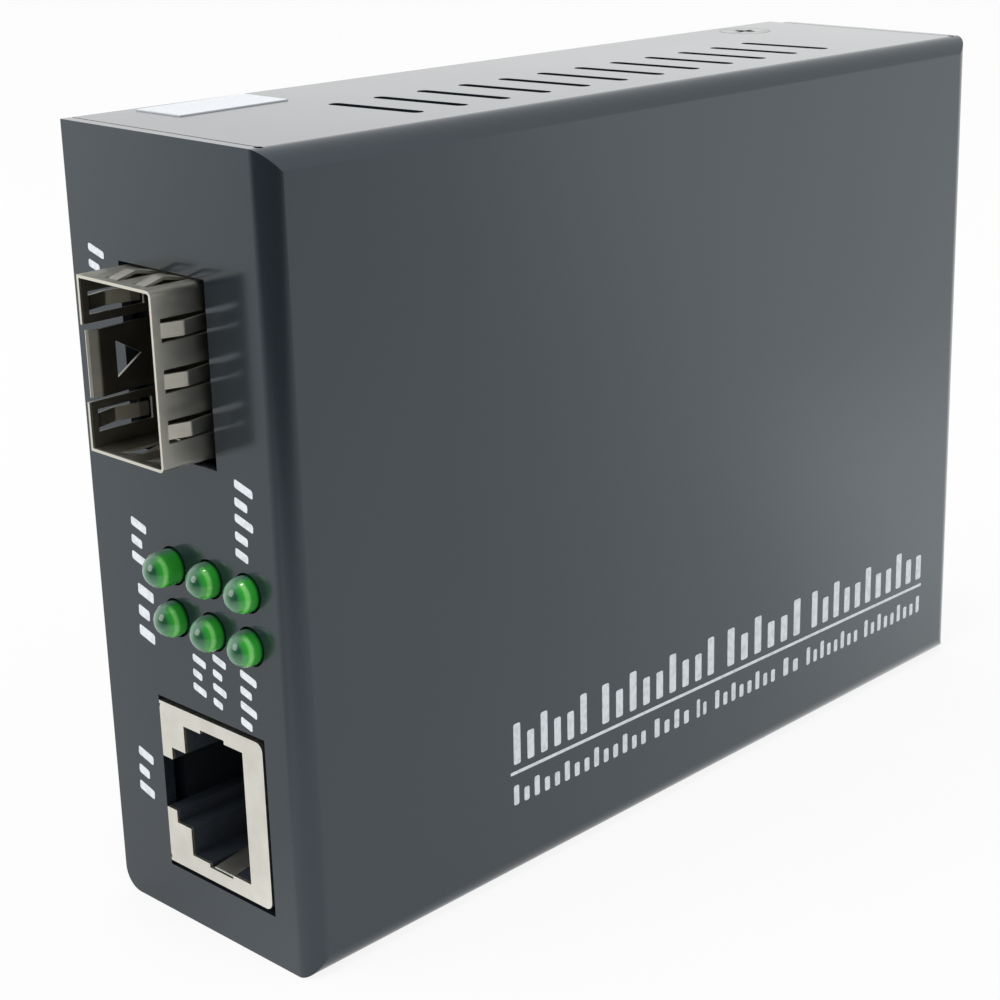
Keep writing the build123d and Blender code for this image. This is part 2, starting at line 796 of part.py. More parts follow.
# Shield of the copper port: folded box with a framed opening and two ground springs
jack_x = board_x + jack_height / 2
spring_x = board_x + ground_spring_rise
spring_root = port_width / 2 + ground_spring_relief
ground_spring_end = ground_spring_length + ground_spring_tip
with BuildPart() as rj45_shield:
    with BuildSketch(Plane.XZ.offset(-jack_front_y)):
        with Locations((jack_x, jack_middle)):
            add(folded_section(jack_height, jack_width, shield_bend_radius, shield_sheet))
    extrude(amount=-jack_depth)
    with BuildSketch(Plane.XZ.offset(-jack_back_y)):
        with Locations((jack_x, jack_middle)):
            Rectangle(jack_height - 2 * shield_sheet, jack_width - 2 * shield_sheet)
    extrude(amount=shield_sheet)
    with BuildSketch(Plane.XZ.offset(-jack_front_y)):
        with Locations((jack_x, jack_middle)):
            RectangleRounded(jack_height, jack_width, shield_bend_radius)
        add(port_outline(), mode=Mode.SUBTRACT)
        with Locations((spring_x, jack_middle)):
            Rectangle(
                ground_spring_width + 2 * spring_pocket_margin, 2 * spring_root, mode=Mode.SUBTRACT
            )
    extrude(amount=-shield_sheet)
    for inward in (-1, 1):
        root = (spring_x, jack_front_y, jack_middle - inward * spring_root)
        with BuildSketch(side_view(root, (0, 0, inward))):
            add(
                strip_section(
                    (
                        (0, -ground_spring_bend - shield_sheet),
                        (0, 0),
                        (ground_spring_length, ground_spring_lean),
                        (ground_spring_end, ground_spring_lean - ground_spring_tip_drop),
                    ),
                    ground_spring_bend,
                    shield_sheet,
                    Side.RIGHT,
                )
            )
        extrude(amount=ground_spring_width / 2, both=True)
rj45_shield.part.label = "rj45_shield"
export_step(rj45_shield.part, "parts/rj45_shield.step")

# Housing of the copper port: a moulded block with the plug cavity, spring pockets and two pegs
housing_front_y = jack_front_y + shield_sheet + housing_fit
housing_back_y = jack_back_y - shield_sheet - housing_fit
housing_top_x = board_x + jack_height - shield_sheet - housing_fit
port_back_y = housing_front_y + port_depth
with BuildPart() as rj45_housing:
    with BuildSketch(board_plane):
        with Locations(((housing_front_y + housing_back_y) / 2, jack_middle)):
            Rectangle(housing_back_y - housing_front_y, jack_width - 2 * (shield_sheet + housing_fit))
    extrude(amount=housing_top_x - board_x)
    fillet(
        rj45_housing.edges().filter_by(Axis.Y).group_by(Axis.X)[-1],
        radius=shield_bend_radius - shield_sheet,
    )
    with BuildSketch(Plane.XZ.offset(-housing_front_y)):
        add(port_outline())
    extrude(amount=-port_depth, mode=Mode.SUBTRACT)
    with BuildSketch(Plane.XZ.offset(-housing_front_y)):
        with Locations((spring_x, jack_middle)):
            Rectangle(
                ground_spring_width + 2 * spring_pocket_margin, port_width + 2 * spring_pocket_depth
            )
    extrude(amount=-(ground_spring_end + spring_pocket_margin), mode=Mode.SUBTRACT)
    with BuildSketch(board_plane):
        with Locations(*jack_pegs):
            Circle(peg_size / 2)
    extrude(amount=-peg_length)
rj45_housing.part.label = "rj45_housing"
export_step(rj45_housing.part, "parts/rj45_housing.step")

# Port contacts: eight spring wires that run along the cavity's roof and fold back into it
contact_x = port_roof_x - contact_size / 2
contact_bend_y = jack_front_y + contact_setback
with BuildPart() as rj45_contacts:
    for index in range(contact_count):
        contact_z = jack_middle + (index - (contact_count - 1) / 2) * contact_pitch
        with BuildLine(Plane.XY.offset(contact_z)) as wire:
            FilletPolyline(
                (contact_x, port_back_y),
                (contact_x, contact_bend_y),
                (contact_x - contact_drop, contact_bend_y + contact_return),
                radius=contact_bend_radius,
            )
        with BuildSketch(Plane.XZ.offset(-port_back_y)):
            with Locations((contact_x, contact_z)):
                Rectangle(contact_size, contact_size)
        sweep(path=wire.wires()[0])
rj45_contacts.part.label = "rj45_contacts"
export_step(rj45_contacts.part, "parts/rj45_contacts.step")

# Power inlet body: a moulded block with a collar in the rear panel's hole and a bore for the plug
spring_leg_y = inlet_back_y + inlet_spring_start
spring_seat_x = inlet_x - inlet_bore / 2 - inlet_spring_seat
with BuildPart() as dc_jack_body:
    with BuildSketch(board_plane):
        with Locations(((inlet_back_y + inlet_rear_y) / 2, inlet_middle)):
            Rectangle(inlet_depth, inlet_width)
    extrude(amount=inlet_height)
    fillet(dc_jack_body.edges().filter_by(Axis.Y).group_by(Axis.X)[-1], radius=body_edge)
    with BuildSketch(Plane.XZ.offset(-inlet_rear_y)):
        with Locations((inlet_x, inlet_middle)):
            Circle(inlet_hole / 2 - inlet_collar_clearance)
    extrude(amount=-inlet_collar_length)
    with BuildSketch(Plane.XZ.offset(-inlet_mouth_y)):
        with Locations((inlet_x, inlet_middle)):
            Circle(inlet_bore / 2)
    extrude(amount=inlet_bore_depth, mode=Mode.SUBTRACT)
    with BuildSketch(Plane.XZ.offset(-inlet_mouth_y)):
        with Locations((inlet_x, inlet_middle)):
            Circle(pin_size / 2 + pin_fit)
    extrude(amount=inlet_depth + inlet_collar_length, mode=Mode.SUBTRACT)
    with BuildSketch(board_plane):
        with Locations((spring_leg_y + inlet_spring_reach / 2, inlet_middle)):
            Rectangle(
                inlet_spring_reach + 2 * inlet_spring_bend,
                inlet_spring_width + 2 * inlet_spring_clearance,
            )
    extrude(amount=inlet_axis_rise - inlet_bore / 2 + inlet_spring_touch, mode=Mode.SUBTRACT)
dc_jack_body.part.label = "dc_jack_body"
export_step(dc_jack_body.part, "parts/dc_jack_body.step")

# Power inlet pin: round-nosed centre pin riveted to its solder tail behind the body
with BuildPart() as dc_jack_pin:
    with BuildSketch(Plane.XZ.offset(-inlet_back_y)):
        with Locations((inlet_x, inlet_middle)):
            Circle(pin_size / 2)
    extrude(amount=-(inlet_mouth_y - pin_setback - inlet_back_y))
    fillet(dc_jack_pin.edges().group_by(Axis.Y)[-1], radius=pin_size / 2 - pin_fit)
    with BuildSketch(Plane.XZ.offset(-inlet_back_y)):
        with Locations((inlet_x, inlet_middle)):
            Circle(pin_rivet_size / 2)
        with Locations(((inlet_x + board_under_x - tail_length) / 2, inlet_middle)):
            Rectangle(inlet_x - board_under_x + tail_length, pin_tail_width)
    extrude(amount=pin_rivet_height)
dc_jack_pin.part.label = "dc_jack_pin"
export_step(dc_jack_pin.part, "parts/dc_jack_pin.step")

# Power inlet spring: a bowed leaf under the bore with a leg through the board
with BuildPart() as dc_jack_spring:
    with BuildSketch(side_view((0, 0, inlet_middle), (1, 0, 0))):
        add(
            strip_section(
                (
                    (spring_leg_y, board_under_x - tail_length),
                    (spring_leg_y, spring_seat_x),
                    (spring_leg_y + inlet_spring_reach / 2, inlet_x - inlet_bore / 2 + inlet_spring_touch),
                    (spring_leg_y + inlet_spring_reach, spring_seat_x),
                ),
                inlet_spring_bend,
                inlet_spring_sheet,
                Side.RIGHT,
            )
        )
    extrude(amount=inlet_spring_width / 2, both=True)
dc_jack_spring.part.label = "dc_jack_spring"
export_step(dc_jack_spring.part, "parts/dc_jack_spring.step")

# Isolation module of the copper port and the small memory chip, both with bent leads
magnetics_y = jack_back_y + magnetics_gap + magnetics_size[0] / 2
magnetics = leaded_chip(magnetics_size, (magnetics_y, jack_middle), magnetics_leads, magnetics_lead_pitch)
magnetics.label = "magnetics"
export_step(magnetics, "parts/magnetics.step")

flash_chip = leaded_chip(flash_size, on_board(flash_place), flash_leads, flash_lead_pitch)
flash_chip.label = "flash_chip"
export_step(flash_chip, "parts/flash_chip.step")

# Converter chip: a flat leadless package
with BuildPart() as converter_chip:
    with BuildSketch(board_plane):
        with Locations(on_board(chip_place)):
            Rectangle(chip_size[0], chip_size[1])
    extrude(amount=chip_size[2])
    chamfer(converter_chip.faces().sort_by(Axis.X)[-1].edges(), length=body_edge)
converter_chip.part.label = "converter_chip"
export_step(converter_chip.part, "parts/converter_chip.step")

# Regulator: a body with a wide tab on one flank and three legs on the other, all flat on the board
regulator_y, regulator_z = on_board(regulator_place)
tab_y = regulator_y + (regulator_size[0] + regulator_tab[0]) / 2
legs_y = regulator_y - (regulator_size[0] + regulator_tab[0]) / 2
with BuildPart() as regulator:
    with BuildSketch(board_plane):
        with Locations((regulator_y, regulator_z)):
            Rectangle(regulator_size[0], regulator_size[1])
    extrude(amount=regulator_size[2])
    chamfer(regulator.faces().sort_by(Axis.X)[-1].edges(), length=body_edge)
    with BuildSketch(board_plane):
        with Locations((tab_y, regulator_z)):
            Rectangle(regulator_tab[0], regulator_tab[1])
        with Locations((legs_y, regulator_z)):
            with GridLocations(1, regulator_lead_pitch, 1, regulator_leads):
                Rectangle(regulator_tab[0], regulator_lead_width)
    extrude(amount=regulator_tab[2])
regulator.part.label = "regulator"
export_step(regulator.part, "parts/regulator.step")

# Power inductor: a low square block with round corners
with BuildPart() as power_inductor:
    with BuildSketch(board_plane):
        with Locations(on_board(inductor_place)):
            RectangleRounded(inductor_size, inductor_size, inductor_round)
    extrude(amount=inductor_height)
    chamfer(power_inductor.edges().group_by(Axis.X)[-1], length=body_edge)
power_inductor.part.label = "power_inductor"
export_step(power_inductor.part, "parts/power_inductor.step")

# Crystal: an oval can on a wider foot
crystal_z = cage_low_z - crystal_gap - crystal_size[1] / 2
crystal_place = (inlet_back_y - crystal_setback, crystal_z)
with BuildPart() as crystal:
    with BuildSketch(board_plane):
        with Locations(crystal_place):
            SlotOverall(crystal_size[1], crystal_size[0], rotation=90)
    extrude(amount=crystal_foot)
    with BuildSketch(board_plane.offset(crystal_foot)):
        with Locations(crystal_place):
            SlotOverall(crystal_size[1] - 2 * crystal_lip, crystal_size[0] - 2 * crystal_lip, rotation=90)
    extrude(amount=crystal_size[2] - crystal_foot)
    chamfer(crystal.edges().group_by(Axis.X)[-1], length=body_edge)
crystal.part.label = "crystal"
export_step(crystal.part, "parts/crystal.step")

# Capacitors: upright cans with a groove round the foot
for number in range(1, capacitor_count + 1):
    capacitor_y, capacitor_z = on_board(capacitor_place)
    capacitor_z += (number - (capacitor_count + 1) / 2) * capacitor_spacing
    with BuildPart() as capacitor:
        with BuildSketch(board_plane):
            with Locations((capacitor_y, capacitor_z)):
                Circle(capacitor_size / 2)
        extrude(amount=capacitor_height)
        chamfer(capacitor.edges().group_by(Axis.X)[-1], length=capacitor_edge)
        with BuildSketch(board_plane.offset(capacitor_groove_rise)):
            with Locations((capacitor_y, capacitor_z)):
                Circle(capacitor_size / 2)
                Circle(capacitor_size / 2 - capacitor_groove, mode=Mode.SUBTRACT)
        extrude(amount=2 * capacitor_groove, mode=Mode.SUBTRACT)
    capacitor.part.label = f"capacitor_{number}"
    export_step(capacitor.part, f"parts/capacitor_{number}.step")

# Small ceramic parts in a row
with BuildPart() as chip_parts:
    with BuildSketch(board_plane):
        with Locations(on_board(small_part_place)):
            with GridLocations(1, small_part_pitch, 1, small_part_count):
                Rectangle(small_part_size[0], small_part_size[1])
    extrude(amount=small_part_size[2])
chip_parts.part.label = "chip_parts"
export_step(chip_parts.part, "parts/chip_parts.step")

# Blank label stuck over the front cover screw
with BuildPart() as blank_label:
    with BuildSketch(top_plane):
        with Locations((base_x + label_height, front_y + label_setback)):
            Rectangle(label_width, label_length, rotation=label_turn)
    extrude(amount=label_thickness)
blank_label.part.label = "blank_sticker"
export_step(blank_label.part, "parts/blank_sticker.step")
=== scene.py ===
import json
import math

import bmesh
import bpy
from mathutils import Matrix, Vector


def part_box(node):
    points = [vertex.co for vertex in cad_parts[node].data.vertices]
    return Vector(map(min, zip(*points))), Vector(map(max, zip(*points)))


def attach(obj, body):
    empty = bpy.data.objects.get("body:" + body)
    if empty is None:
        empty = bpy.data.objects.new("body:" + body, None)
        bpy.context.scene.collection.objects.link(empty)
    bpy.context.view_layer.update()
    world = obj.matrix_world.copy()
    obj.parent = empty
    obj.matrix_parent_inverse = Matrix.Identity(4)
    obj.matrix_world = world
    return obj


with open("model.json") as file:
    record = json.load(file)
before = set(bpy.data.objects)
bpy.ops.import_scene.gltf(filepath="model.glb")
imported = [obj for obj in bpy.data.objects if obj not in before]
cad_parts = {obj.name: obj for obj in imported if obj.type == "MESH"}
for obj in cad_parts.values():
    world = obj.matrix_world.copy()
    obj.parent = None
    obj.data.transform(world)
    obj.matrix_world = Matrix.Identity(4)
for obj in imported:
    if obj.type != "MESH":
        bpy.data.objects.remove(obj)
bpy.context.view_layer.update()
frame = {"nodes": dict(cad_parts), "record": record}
bpy.context.scene.view_settings.view_transform = "Standard"
MM = 0.001


def linear(red, green, blue):
    """A colour as a picture gives it, 0 to 255, as the linear values that a shader takes."""
    values = [c / 255 for c in (red, green, blue)]
    return tuple(v / 12.92 if v <= 0.04045 else ((v + 0.055) / 1.055) ** 2.4 for v in values)


# Camera: found from the corners of the case in the photograph, in degrees, millimetres and pixels
CAMERA_AZIMUTH = 41.606
CAMERA_ELEVATION = 17.277
CAMERA_ROLL = -0.480
CAMERA_DISTANCE = 216.184
CAMERA_TARGET = (0.0, 8.535, 31.293)
FOCAL_PIXELS = 2117.15
PICTURE_PIXELS = 1000.0
PICTURE_CENTRE = (637.38, 445.45)
SENSOR = 36.0
NEAR_CLIP = 10.0

# Studio: its level on matt surfaces, and what reflections show of its dark side and its far wall.
# Starts and ends are cosines of the angle to the middle of each
WORLD_LEVEL = 0.8
DARK_LEVEL = 0.03
DARK_SIDE_START, DARK_SIDE_END = 0.45, 0.9
FAR_WALL_START, FAR_WALL_END = 0.6, 0.95
FAR_WALL_LEVEL = 1.25

# Floor: its size, colours and glow, and where its reflection goes dark, dull or bright, in millimetres
# from the middle of the case
FLOOR_HALF = 3000.0
FLOOR_PALE = (0.9, 0.9, 0.9)
FLOOR_DARK = (0.02, 0.02, 0.02)
FLOOR_GLOW = 0.88
FLOOR_DARK_START, FLOOR_DARK_END = -20.0, 240.0
FLOOR_LEFT_X = 10.0
FLOOR_LEFT_LEVEL = 0.6
FLOOR_FAR_START, FLOOR_FAR_END = -30.0, 40.0
FLOOR_FAR_LEVEL = 1.4
FLOOR_SIDE_START, FLOOR_SIDE_END = 5.0, 35.0
FLOOR_SIDE_LEVEL = 1.35
FLOOR_SIDE_X = 45.0
FLOOR_SIDE_INNER, FLOOR_SIDE_OUTER = 15.0, 60.0

# Lights: place and width in metres, and power in watts
LIGHT_TARGET = (0, 0, 0.03)
LIGHTS = {
    "key_light": ((0.06, -0.1, 0.85), 0.12, 1.4),
    "fill_light": ((-0.35, -0.9, 0.35), 0.6, 2.5),
}

# Sizes and levels of the CAD model that looks are placed on, in millimetres
CASE_LOW, CASE_HIGH = (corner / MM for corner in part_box("cover_shell"))
FACE_X = CASE_HIGH.x
FRONT_Y = CASE_LOW.y
CAGE_WIDTH, CAGE_HEIGHT = 14.7, 9.7
CAGE_SKIN = 0.2
# Where the painted shade on the plating inside the cage ends
CAGE_SHADE_END_Y = 0.0
# Where the painted shade on the board under the port ends towards the rear, and the length of its fade
PORT_SHADE_Y, PORT_SHADE_FADE = -26.0, 0.5
LAMP_RADIUS = 1.55
LAMP_FLANGE_RADIUS = 1.9
LAMP_LENGTH = 5.3

# The range of a noise's values that holds most of its pattern
NOISE_LOW, NOISE_HIGH = 0.3, 0.7

# Coat of the case, with dust specks: their spacing in millimetres, their sizes as shares of it
PAINT_DARK = linear(26, 32, 38)
PAINT_LIGHT = linear(36, 42, 48)
PAINT_GRAIN = linear(20, 24, 28)
PAINT_TINT = (0.8, 0.92, 1.0)
PAINT_IOR = 1.66
DUST_COLOUR = linear(150, 165, 168)
DUST_SPACING = 5.0
DUST_FREE_SHARE, DUST_FREE_FADE = 0.72, 0.01
DUST_SMALL, DUST_LARGE = 0.012, 0.036
DUST_COVER = 0.7

# Plating: painted shade inside the cage, and a painted highlight on faces of the cage that look towards
# the front, such as its cut edge
PAINTED_INSIDE_SHADE = linear(96, 92, 82)
PAINTED_SHADE_SHARE = 0.6
PAINTED_EDGE_HIGHLIGHT = linear(226, 224, 212)

# Lamps: colours of the lens with painted light in them (a pale painted sheen, a painted dark core near
# the tip, a painted glow and highlight on the flank, and painted shadow next to the panel), the place of
# the painted dark core in lamp radii, and the leads
LENS_PAINTED_SHEEN = linear(104, 150, 122)
LENS_GREEN = linear(44, 118, 72)
LENS_CLOUD = linear(120, 164, 136)
LENS_PAINTED_CORE_SHADE = linear(18, 78, 46)
LENS_PAINTED_GLOW = linear(56, 176, 60)
LENS_PAINTED_HIGHLIGHT = linear(126, 226, 112)
LENS_PAINTED_SHADOW = linear(16, 62, 34)
LENS_PAINTED_CORE_PLACE = (0.41, 0.0, 0.2)
LEAD_COLOUR = (0.6, 0.6, 0.58)

# Board: colours of its solder mask, also over the copper tracks, and of the painted shade on it below
# the port
MASK_DARK = linear(12, 42, 30)
MASK_LIGHT = linear(14, 48, 34)
MASK_TRACK = linear(22, 64, 44)
MASK_PAINTED_SHADE = linear(22, 28, 33)
TRACKS_PER_MM = 0.22

# Print: lines of plain rounded blocks, in millimetres and degrees
PRINT_THICKNESS = 0.04
PRINT_PROUD = 0.005
PRINT_ROUND = 0.2
PRINT_ROUND_STEPS = 3
PRINT_FILL = 0.5
PRINT_LOW = 0.7
PRINT_FULL_EVERY = 3
FACE_PRINT_TILT = -0.65
FACE_PRINT_START = -23.7
FACE_PRINT_LENGTH = 65.4
RULE_Z, RULE_WIDTH = 10.4, 0.32
UPPER_LINE_Z, UPPER_LINE_HEIGHT = 11.2, 4.0
LOWER_LINE_Z, LOWER_LINE_HEIGHT = 7.2, 1.95

# Each group of blocks on the large face: its start and end along the line, and its number of blocks
UPPER_GROUPS = ((0.0, 10.6, 6), (11.8, 29.3, 9), (30.4, 43.5, 6), (44.5, 65.7, 11))
LOWER_GROUPS = (
    (0.0, 18.8, 14), (19.4, 25.3, 4), (25.9, 27.9, 2), (28.7, 39.1, 8), (39.8, 43.1, 2),
    (43.9, 53.6, 8), (54.3, 65.4, 9),
)

# Each column of blocks on the panel: X and Z of its start, its length, its number of blocks and their
# height. Drift is how far the columns stray sideways for each millimetre downwards
MARK_LEAN = 0.2
MARK_DRIFT = -0.07
MARKS = {
    "mark_cage": (-10.55, 60.2, 2.6, 2, 2.15),
    "mark_lamp_high": (6.85, 43.4, 7.3, 5, 2.3),
    "mark_lamp_left_high": (-7.7, 37.1, 4.7, 3, 2.1),
    "mark_lamp_left_low": (-7.45, 31.2, 5.8, 3, 2.15),
    "mark_lamp_middle": (2.35, 27.2, 5.3, 4, 1.75),
    "mark_lamp_middle_low": (-0.4, 26.5, 4.0, 3, 1.75),
    "mark_lamp_right": (5.95, 26.8, 5.7, 4, 2.1),
    "mark_port": (-9.4, 15.3, 5.1, 3, 2.1),
}


# Nodes of shaders

# Sockets of a mix node for each kind of value that it mixes: its two inputs and its output
MIX_SOCKETS = {"FLOAT": (2, 3, 0), "RGBA": (6, 7, 2)}


class Graph:
    """A node tree, with short names for the nodes that the studio and the materials need."""

    def __init__(self, tree):
        self.tree = tree

    def add(self, kind, **settings):
        """A new node of a kind, with its settings."""
        node = self.tree.nodes.new(kind)
        for key, value in settings.items():
            setattr(node, key, value)
        return node

    def feed(self, socket, value):
        """Gives a socket another node's output, or a value of its own: three numbers for a colour."""
        if isinstance(value, bpy.types.NodeSocket):
            self.tree.links.new(value, socket)
        elif socket.type == "RGBA":
            socket.default_value = (*value, 1)
        else:
            socket.default_value = value

    def place(self):
        """Position on the object in millimetres."""
        coordinates = self.add("ShaderNodeTexCoord")
        scale = self.add("ShaderNodeVectorMath", operation="SCALE")
        self.feed(scale.inputs[0], coordinates.outputs["Object"])
        self.feed(scale.inputs["Scale"], 1 / MM)
        return scale.outputs["Vector"]

    def axis(self, vector, name):
        """One coordinate of a vector."""
        split = self.add("ShaderNodeSeparateXYZ")
        self.feed(split.inputs[0], vector)
        return split.outputs[name]

    def vector(self, operation, *values, output="Vector"):
        """A sum on vectors, which gives a vector or, with Value as output, a number."""
        node = self.add("ShaderNodeVectorMath", operation=operation)
        for socket, value in zip(node.inputs, values):
            self.feed(socket, value)
        return node.outputs[output]

    def calculate(self, operation, *values):
        """A sum on numbers."""
        node = self.add("ShaderNodeMath", operation=operation)
        for socket, value in zip(node.inputs, values):
            self.feed(socket, value)
        return node.outputs["Value"]

    def remap(self, value, start, end, low=0.0, high=1.0, smooth=False):
        """Goes from low to high as value goes from start to end, and stays level beyond them."""
        node = self.add("ShaderNodeMapRange", interpolation_type="SMOOTHSTEP" if smooth else "LINEAR")
        names = ("Value", "From Min", "From Max", "To Min", "To Max")
        for name, number in zip(names, (value, start, end, low, high)):
            self.feed(node.inputs[name], number)
        return node.outputs["Result"]

    def lobe(self, source, direction, start, end, level):
        """Goes smoothly from 1 to level as source, a place or a direction, reaches along direction."""
        reach = self.vector("DOT_PRODUCT", source, direction, output="Value")
        return self.remap(reach, start, end, 1.0, level, smooth=True)

    def noise(self, vector, scale, detail=3.0):
        """Cloudy pattern, with scale as its number of features per millimetre."""
        node = self.add("ShaderNodeTexNoise")
        for name, value in zip(("Vector", "Scale", "Detail"), (vector, scale, detail)):
            self.feed(node.inputs[name], value)
        return node.outputs["Fac"]

    def mix(self, factor, first, second, kind="RGBA"):
        """A colour between two, or a number between two where kind is FLOAT."""
        node = self.add("ShaderNodeMix", data_type=kind)
        start, end, result = MIX_SOCKETS[kind]
        for index, value in zip((0, start, end), (factor, first, second)):
            self.feed(node.inputs[index], value)
        return node.outputs[result]


class Material(Graph):
    """A material with one main shader, and short names for what feeds it."""

    def __init__(self, name):
        self.material = bpy.data.materials.new(name)
        self.material.use_nodes = True
        super().__init__(self.material.node_tree)
        self.shader = self.tree.nodes["Principled BSDF"]

    def constants(self, values):
        """Sets what is the same all over the surface."""
        for name, value in values.items():
            self.feed(self.shader.inputs[name], value)

    def colour(self, source):
        self.feed(self.shader.inputs["Base Color"], source)

    def roughness(self, source):
        self.feed(self.shader.inputs["Roughness"], source)

    def bump(self, height, strength, distance):
        """Relief of the surface, with distance in millimetres."""
        node = self.add("ShaderNodeBump")
        self.feed(node.inputs["Strength"], strength)
        self.feed(node.inputs["Distance"], distance * MM)
        self.feed(node.inputs["Height"], height)
        self.feed(self.shader.inputs["Normal"], node.outputs["Normal"])

    def cover(self, share, shader):
        """Lays another shader over the main one: share is how much of it shows, 0 to 1."""
        node = self.add("ShaderNodeMixShader")
        for socket, source in zip(node.inputs, (share, self.shader.outputs[0], shader.outputs[0])):
            self.feed(socket, source)
        self.feed(self.tree.nodes["Material Output"].inputs["Surface"], node.outputs[0])


# Camera, studio, floor and lights


def camera_axes():
    """Right, up and back directions of the camera that took the photograph."""
    az, el = math.radians(CAMERA_AZIMUTH), math.radians(CAMERA_ELEVATION)
    roll = math.radians(CAMERA_ROLL)
    back = Vector((math.sin(az) * math.cos(el), -math.cos(az) * math.cos(el), math.sin(el)))
    level = Vector((math.cos(az), math.sin(az), 0))
    above = back.cross(level)
    right = math.cos(roll) * level + math.sin(roll) * above
    up = -math.sin(roll) * level + math.cos(roll) * above
    return right, up, back


def make_camera():
    """The photograph's camera. Returns the direction from the object back towards it."""
    right, up, back = camera_axes()
    data = bpy.data.cameras.new("photo_camera")
    data.sensor_width = SENSOR
    data.lens = FOCAL_PIXELS * SENSOR / PICTURE_PIXELS
    data.shift_x = 0.5 - PICTURE_CENTRE[0] / PICTURE_PIXELS
    data.shift_y = PICTURE_CENTRE[1] / PICTURE_PIXELS - 0.5
    data.clip_start = NEAR_CLIP * MM
    camera = bpy.data.objects.new("photo_camera", data)
    place = (Vector(CAMERA_TARGET) + back * CAMERA_DISTANCE) * MM
    turn = Matrix((right, up, back)).transposed().to_4x4()
    camera.matrix_world = Matrix.Translation(place) @ turn
    bpy.context.scene.collection.objects.link(camera)
    bpy.context.scene.camera = camera
    return back


def make_world(back):
    """White studio all round. Only reflections show its dark side, where the photographer stands, and
    its brighter far wall."""
    world = bpy.data.worlds.new("studio")
    bpy.context.scene.world = world
    world.use_nodes = True
    graph = Graph(world.node_tree)
    direction = graph.add("ShaderNodeTexCoord").outputs["Generated"]
    dark_side = graph.lobe(direction, back, DARK_SIDE_START, DARK_SIDE_END, DARK_LEVEL)
    far_wall = graph.lobe(direction, -back, FAR_WALL_START, FAR_WALL_END, FAR_WALL_LEVEL)
    strength = graph.calculate("MULTIPLY", dark_side, far_wall)
    path = graph.add("ShaderNodeLightPath")
    even_levels = {"Is Diffuse Ray": WORLD_LEVEL, "Is Camera Ray": 1.0, "Is Transmission Ray": 1.0}
    for ray, level in even_levels.items():
        strength = graph.mix(path.outputs[ray], strength, level, kind="FLOAT")
    background = graph.tree.nodes["Background"]
    graph.feed(background.inputs["Strength"], strength)
    graph.feed(background.inputs["Color"], (1, 1, 1))


def floor_material(back):
    """Pale floor. Its reflection fades to dark towards the photographer, is duller on the left, and is
    brighter behind the object and along its large face."""
    graph = Material("pale_floor")
    path = graph.add("ShaderNodeLightPath")
    glossy = path.outputs["Is Glossy Ray"]
    place = graph.place()
    across = graph.axis(place, "X")
    forward = Vector((back.x, back.y, 0)).normalized()
    front = graph.lobe(place, forward, FLOOR_DARK_START, FLOOR_DARK_END, DARK_LEVEL)
    left = graph.remap(across, -FLOOR_LEFT_X, FLOOR_LEFT_X, FLOOR_LEFT_LEVEL, 1.0)
    pale = graph.calculate("MULTIPLY", front, left)
    dark = graph.calculate("MULTIPLY", glossy, graph.calculate("SUBTRACT", 1.0, pale))
    graph.colour(graph.mix(dark, FLOOR_PALE, FLOOR_DARK))
    graph.constants({"Roughness": 0.9, "Specular IOR Level": 0.0})
    seen = graph.calculate("MAXIMUM", path.outputs["Is Camera Ray"], path.outputs["Is Transmission Ray"])
    mirrored = graph.calculate("MULTIPLY", glossy, pale)
    share = graph.calculate("MULTIPLY", graph.calculate("MAXIMUM", seen, mirrored), FLOOR_GLOW)
    far = graph.lobe(place, -forward, FLOOR_FAR_START, FLOOR_FAR_END, FLOOR_FAR_LEVEL)
    side = graph.lobe(place, -forward, FLOOR_SIDE_START, FLOOR_SIDE_END, FLOOR_SIDE_LEVEL)
    offset = graph.calculate("ABSOLUTE", graph.calculate("SUBTRACT", across, FLOOR_SIDE_X))
    fade = graph.remap(offset, FLOOR_SIDE_INNER, FLOOR_SIDE_OUTER, 1.0, 0.0)
    side_gain = graph.calculate("MULTIPLY", graph.calculate("SUBTRACT", side, 1.0), fade)
    gain = graph.calculate("ADD", graph.calculate("SUBTRACT", far, 1.0), side_gain)
    boost = graph.calculate("MULTIPLY", glossy, gain)
    glow = graph.add("ShaderNodeEmission")
    graph.feed(glow.inputs["Strength"], graph.calculate("ADD", boost, 1.0))
    graph.cover(share, glow)
    return graph.material


def make_floor(back):
    """A large floor level with the case's underside, which keeps the object's shadow."""
    mesh = bpy.data.meshes.new("studio_floor")
    half = FLOOR_HALF * MM
    low = CASE_LOW.z * MM
    corners = [(x * half, y * half, low) for x, y in ((-1, -1), (1, -1), (1, 1), (-1, 1))]
    mesh.from_pydata(corners, [], [(0, 1, 2, 3)])
    floor = bpy.data.objects.new("studio_floor", mesh)
    bpy.context.scene.collection.objects.link(floor)
    mesh.materials.append(floor_material(back))


def make_light(name, place, width, power):
    """A round soft light that points at the middle of the object."""
    data = bpy.data.lights.new(name, "AREA")
    data.shape = "DISK"
    data.size = width
    data.energy = power
    light = bpy.data.objects.new(name, data)
    light.location = place
    aim = Vector(LIGHT_TARGET) - Vector(place)
    light.rotation_euler = aim.to_track_quat("-Z", "Y").to_euler()
    bpy.context.scene.collection.objects.link(light)


# Materials


